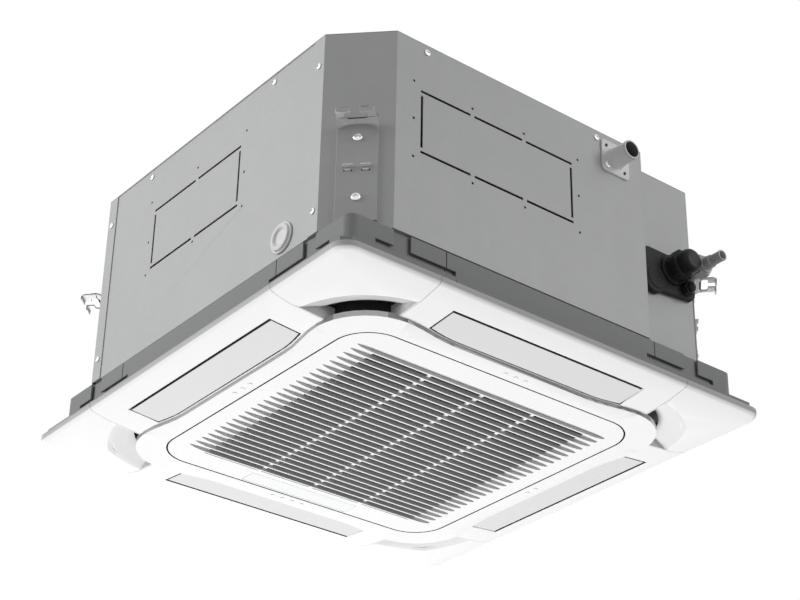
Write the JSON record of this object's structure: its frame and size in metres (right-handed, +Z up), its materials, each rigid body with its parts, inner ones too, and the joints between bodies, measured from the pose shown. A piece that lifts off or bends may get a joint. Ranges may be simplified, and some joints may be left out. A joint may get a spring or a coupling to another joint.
{
  "type": "ceiling cassette air conditioner",
  "caption": "Square ceiling cassette air conditioner: grey sheet cabinet with hanger brackets, white panel with hinged intake grille and tilting air vanes.",
  "frame": {"origin": "centre of the square panel in the ceiling plane, where the rim of the panel meets the ceiling", "axes": "+Z up into the ceiling; -Y towards the face with the drain stub and the pipe fittings; -X towards the face with the round drain check plug; +Y towards the hinge edge of the grille"},
  "size_m": [0.625, 0.6359, 0.3401],
  "materials": {
    "zinc_sheet": "matte zinc coating",
    "zinc_bracket": "matte zinc coating",
    "screw_steel": "bright zinc plating",
    "white_plastic": "fine satin grain",
    "vane_plastic": "satin",
    "grey_plastic": "matte",
    "light_grey_plastic": "satin",
    "dark_plastic": "matte",
    "dark_foam": "matte closed-cell foam",
    "white_foam": "expanded bead foam",
    "copper": "drawn copper tube",
    "fin_aluminium": "thin fins",
    "motor_paint": "satin",
    "rubber_black": "matte",
    "fan_plastic": "satin",
    "board_green": "solder mask",
    "strip_plastic": "gloss",
    "filter_mesh": "woven mesh on a plastic frame",
    "float_plastic": "matte"
  },
  "bodies": {
    "cabinet": {"top_plate": "zinc_sheet", "front_sheet": "zinc_sheet", "left_sheet": "zinc_sheet", "back_sheet": "zinc_sheet", "right_sheet": "zinc_sheet", "recess_sheet": "zinc_sheet", "foam_liner": "dark_foam", "hanger_brackets": "zinc_bracket", "bracket_screws": "screw_steel", "sheet_screws": "screw_steel", "drain_flange": "light_grey_plastic", "drain_plug": "light_grey_plastic", "pipe_gasket": "dark_foam", "gas_nut": "dark_plastic", "gas_pipe": "copper", "liquid_nut": "zinc_bracket", "liquid_pipe": "copper", "cable_gland": "dark_plastic", "fan_motor": "motor_paint", "motor_mounts": "rubber_black", "bell_mouth": "dark_plastic", "coil_fins": "fin_aluminium", "coil_bends": "copper", "drain_pan": "white_foam", "pump_body": "white_plastic", "float_stem": "white_plastic", "drain_riser": "rubber_black", "control_box": "zinc_sheet", "control_lid": "zinc_bracket", "circuit_board": "board_green", "terminal_block": "dark_plastic", "panel_frame": "grey_plastic", "panel_fascia": "white_plastic", "corner_covers": "white_plastic", "corner_pockets": "dark_foam", "panel_bolts": "screw_steel", "vane_motors": "light_grey_plastic", "hinge_lugs": "white_plastic", "hinge_pins": "screw_steel"},
    "intake_grille": {"grille_face": "white_plastic", "grille_back": "grey_plastic", "display_strip": "strip_plastic", "display_board": "board_green"},
    "filter": {"air_filter": "filter_mesh"},
    "catch_l": {"catch_left": "light_grey_plastic"},
    "catch_r": {"catch_right": "light_grey_plastic"},
    "vane_l": {"vane_left": "vane_plastic"},
    "vane_f": {"vane_front": "vane_plastic"},
    "vane_r": {"vane_right": "vane_plastic"},
    "vane_b": {"vane_back": "vane_plastic"},
    "fan": {"turbo_fan": "fan_plastic", "fan_nut": "screw_steel"},
    "pump_rotor": {"pump_wheel": "grey_plastic"},
    "float": {"float_ring": "float_plastic"}
  },
  "joints": [
    {"name": "grille_hinge", "type": "hinge", "parent": "cabinet", "child": "intake_grille", "pos_m": [0, 0.1673, -0.0163], "axis": [1, 0, 0], "range_deg": [0, 85]},
    {"name": "filter_lift", "type": "slide", "parent": "intake_grille", "child": "filter", "axis": [0, 0, 1], "range_m": [0, 0.012]},
    {"name": "catch_left_slide", "type": "slide", "parent": "intake_grille", "child": "catch_l", "axis": [0, 1, 0], "range_m": [0, 0.004]},
    {"name": "catch_right_slide", "type": "slide", "parent": "intake_grille", "child": "catch_r", "axis": [0, 1, 0], "range_m": [0, 0.004]},
    {"name": "vane_left_tilt", "type": "hinge", "parent": "cabinet", "child": "vane_l", "pos_m": [-0.262, 0, -0.004], "axis": [0, -1, 0], "range_deg": [0, 60]},
    {"name": "vane_front_tilt", "type": "hinge", "parent": "cabinet", "child": "vane_f", "pos_m": [0, -0.262, -0.004], "axis": [1, 0, 0], "range_deg": [0, 60]},
    {"name": "vane_right_tilt", "type": "hinge", "parent": "cabinet", "child": "vane_r", "pos_m": [0.262, 0, -0.004], "axis": [0, 1, 0], "range_deg": [0, 60]},
    {"name": "vane_back_tilt", "type": "hinge", "parent": "cabinet", "child": "vane_b", "pos_m": [0, 0.262, -0.004], "axis": [-1, 0, 0], "range_deg": [0, 60]},
    {"name": "fan_spin", "type": "hinge", "parent": "cabinet", "child": "fan", "pos_m": [0, 0, 0.2], "axis": [0, 0, 1], "continuous": true},
    {"name": "pump_spin", "type": "hinge", "parent": "cabinet", "child": "pump_rotor", "pos_m": [0.192, -0.218, 0.1], "axis": [0, 0, 1], "continuous": true},
    {"name": "float_slide", "type": "slide", "parent": "cabinet", "child": "float", "axis": [0, 0, 1], "range_m": [0, 0.025]}
  ]
}
